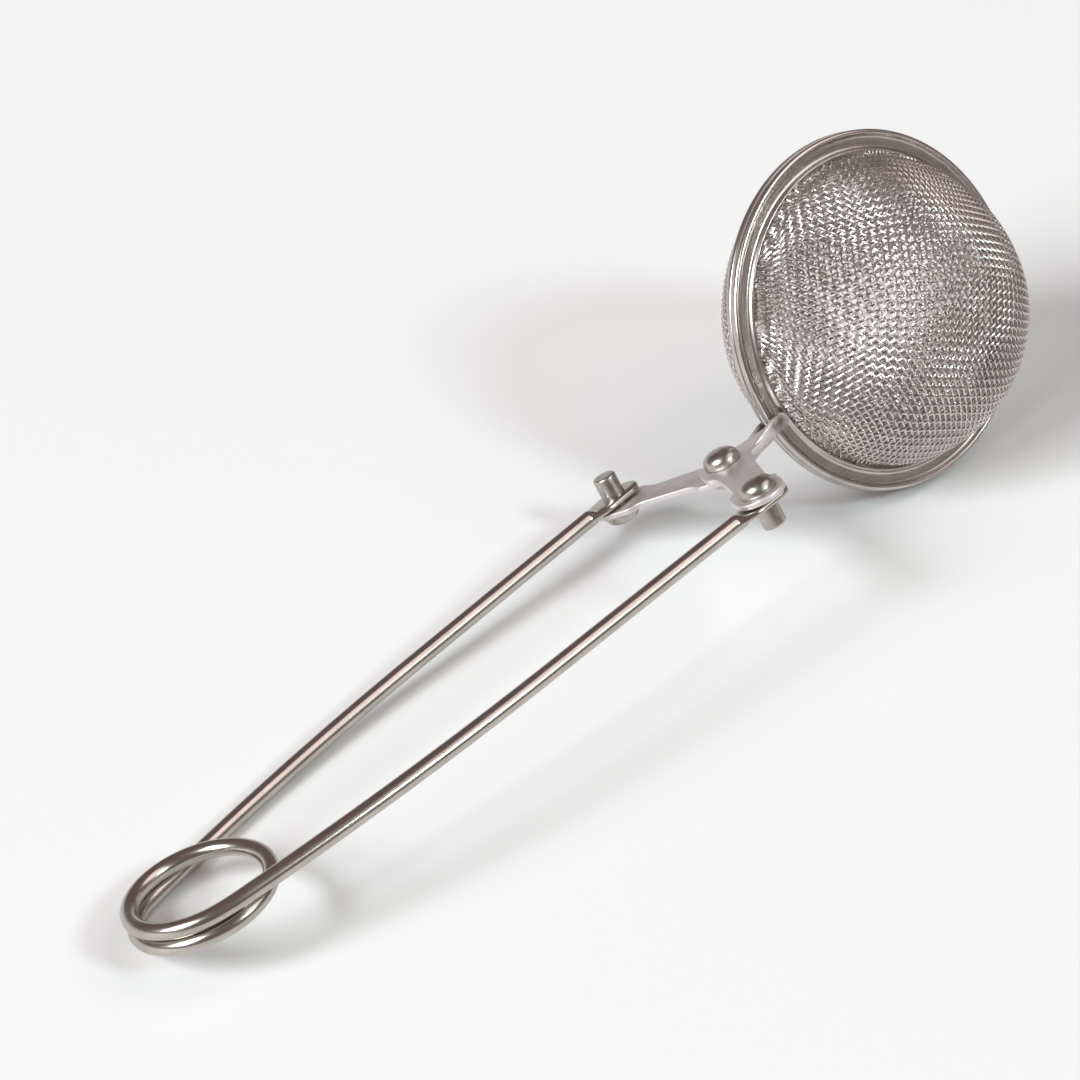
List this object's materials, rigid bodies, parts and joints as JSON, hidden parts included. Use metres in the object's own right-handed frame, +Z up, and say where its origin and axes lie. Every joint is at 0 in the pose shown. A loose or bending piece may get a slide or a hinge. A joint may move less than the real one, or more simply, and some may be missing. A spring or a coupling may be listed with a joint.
{
  "type": "tea infuser",
  "caption": "Squeeze-handle tea infuser: woven mesh ball in hinged halves, held shut by a sprung wire handle that opens it through crossed levers.",
  "frame": {"origin": "on the table, under the centre of the whole part's bounding box, with the part lying as it rests", "axes": "+X from the coil at the handle's end towards the ball, +Y across the handle to the left, +Z up from the table"},
  "size_m": [0.1662, 0.042, 0.0437],
  "materials": {
    "wire": "polished drawn wire",
    "plate": "satin stamped sheet",
    "rivet": "turned, bright",
    "rim": "bright rolled sheet",
    "mesh": "fine plain weave of bright wire"
  },
  "bodies": {
    "coil": {"coil": "wire"},
    "left_arm": {"left_arm_wire": "wire", "left_rivet": "rivet"},
    "right_arm": {"right_arm_wire": "wire", "right_rivet": "rivet"},
    "left_half": {"left_lever": "plate", "left_rim": "rim", "left_mesh_bowl": "mesh"},
    "right_half": {"right_lever": "plate", "right_rim": "rim", "right_mesh_bowl": "mesh", "pivot_rivet": "rivet"}
  },
  "joints": [
    {"name": "left_arm_squeeze", "type": "hinge", "parent": "coil", "child": "left_arm", "pos_m": [-0.07251, -0.0023, 0.00633], "axis": [0.0764, -0.522, -0.8495], "range_deg": [0, 3], "stiffness_Nm_per_rad": 5.6, "springref_deg": -1.15},
    {"name": "right_arm_squeeze", "type": "hinge", "parent": "coil", "child": "right_arm", "pos_m": [-0.07251, -0.0023, 0.00633], "axis": [-0.0764, 0.522, 0.8495], "range_deg": [0, 3], "stiffness_Nm_per_rad": 5.6, "springref_deg": -1.15},
    {"name": "left_lever_turn", "type": "hinge", "parent": "left_arm", "child": "left_half", "pos_m": [0.01778, 0.01152, 0.00597], "axis": [-0.0764, 0.522, 0.8495], "range_deg": [0, 28.8]},
    {"name": "right_lever_turn", "type": "hinge", "parent": "right_arm", "child": "right_half", "pos_m": [0.01627, -0.01612, 0.02281], "axis": [0.0764, -0.522, -0.8495], "range_deg": [0, 28.8]}
  ],
  "couplings": [
    {"joint": "right_arm_squeeze", "follows": "left_arm_squeeze", "ratio": 1},
    {"joint": "left_lever_turn", "follows": "left_arm_squeeze", "ratio": 9.6},
    {"joint": "right_lever_turn", "follows": "left_arm_squeeze", "ratio": 9.6}
  ]
}
